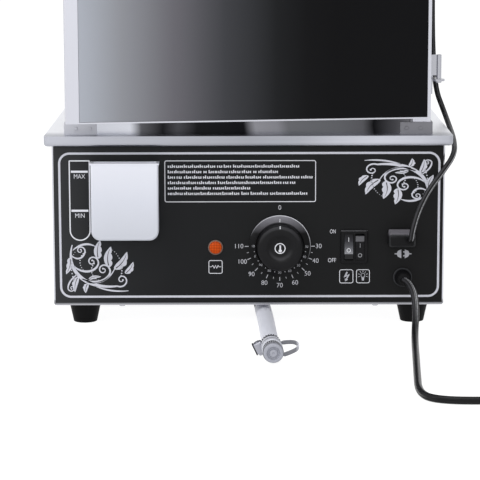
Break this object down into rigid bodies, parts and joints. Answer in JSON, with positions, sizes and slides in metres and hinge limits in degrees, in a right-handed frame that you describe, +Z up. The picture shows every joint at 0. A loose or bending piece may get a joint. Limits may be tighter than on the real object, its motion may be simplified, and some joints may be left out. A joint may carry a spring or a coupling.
{
  "type": "food steamer",
  "caption": "Countertop food steamer: a water-bath base with a dial, switches, filler cup and drain hose, under a lit glass cabinet with wire shelves and a hinged glass door.",
  "frame": {"origin": "on the table under the middle of the steamer's overall extents, cords and drain hose left out", "axes": "+Z up, the control panel and door face -Y, +X to the right seen from the front"},
  "size_m": [0.499, 0.6724, 0.642],
  "materials": {
    "brushed_steel": "brushed stainless steel",
    "polished_steel": "bright polished",
    "panel_black": "satin black with pale printed markings",
    "foot_rubber": "matte rubber",
    "black_plastic": "matte moulding",
    "gloss_black": "glossy moulding",
    "orange_lens": "clear orange lens",
    "white_plastic": "satin white moulding",
    "grey_plastic": "pale grey, soft",
    "cord_black": "matte sheath",
    "clear_glass": "clear tempered glass",
    "dark_glass": "dark tinted glass"
  },
  "bodies": {
    "steamer": {"back_glass": "clear_glass", "base_body": "brushed_steel", "base_floor": "brushed_steel", "base_screws": "polished_steel", "bracket_rivets": "polished_steel", "cap_strap": "foot_rubber", "ceiling_plate": "brushed_steel", "cord_gland": "black_plastic", "corner_brackets": "brushed_steel", "corner_posts": "brushed_steel", "cover_screws": "polished_steel", "deck_tray": "brushed_steel", "drain_elbow": "black_plastic", "drain_hose": "grey_plastic", "drain_nozzle": "grey_plastic", "feet": "foot_rubber", "fill_hose": "foot_rubber", "front_panel": "panel_black", "heating_element": "polished_steel", "hinge_brackets": "brushed_steel", "hose_clamp": "polished_steel", "indicator_bezel": "black_plastic", "indicator_lens": "orange_lens", "lamp_cover": "clear_glass", "lamp_holders": "black_plastic", "lamp_tube": "clear_glass", "left_glass": "clear_glass", "light_cord": "cord_black", "light_outlet": "black_plastic", "light_plug": "black_plastic", "lower_rails": "brushed_steel", "mains_coil": "cord_black", "mains_cord": "cord_black", "mains_plug": "cord_black", "right_glass": "clear_glass", "shelf_1": "polished_steel", "shelf_2": "polished_steel", "shelf_3": "polished_steel", "shelf_4": "polished_steel", "shelf_ladders": "brushed_steel", "steam_plate": "brushed_steel", "switch_housing": "black_plastic", "thermal_cutout": "black_plastic", "thermostat_body": "black_plastic", "thermostat_bulb": "polished_steel", "top_boot": "black_plastic", "top_cover": "brushed_steel", "upper_rails": "brushed_steel", "water_box": "white_plastic", "water_tank": "brushed_steel"},
    "door": {"door_frame": "brushed_steel", "door_glass": "dark_glass", "door_seal": "foot_rubber", "door_handle": "polished_steel", "hinge_leaves": "brushed_steel"},
    "thermostat_dial": {"thermostat_knob": "gloss_black", "thermostat_shaft": "polished_steel"},
    "power_rocker": {"power_rocker": "gloss_black"},
    "light_rocker": {"light_rocker": "gloss_black"},
    "drain_cap": {"drain_cap": "grey_plastic"}
  },
  "joints": [
    {"name": "door_hinge", "type": "hinge", "parent": "steamer", "child": "door", "pos_m": [0.17495, -0.13852, 0.395], "axis": [0, 0, 1], "range_deg": [-7.2, 112.8]},
    {"name": "thermostat_turn", "type": "hinge", "parent": "steamer", "child": "thermostat_dial", "pos_m": [0.029, -0.14002, 0.0748], "axis": [0, 1, 0], "range_deg": [0, 270]},
    {"name": "power_tilt", "type": "hinge", "parent": "steamer", "child": "power_rocker", "pos_m": [0.0931, -0.13902, 0.0736], "axis": [1, 0, 0], "range_deg": [0, 16]},
    {"name": "light_tilt", "type": "hinge", "parent": "steamer", "child": "light_rocker", "pos_m": [0.1033, -0.13902, 0.0736], "axis": [1, 0, 0], "range_deg": [-16, 0]},
    {"name": "cap_turn", "type": "hinge", "parent": "steamer", "child": "drain_cap", "pos_m": [0.0193, -0.27802, 0.0094], "axis": [0.0382, -0.999, 0.0235], "range_deg": [0, 90]}
  ]
}
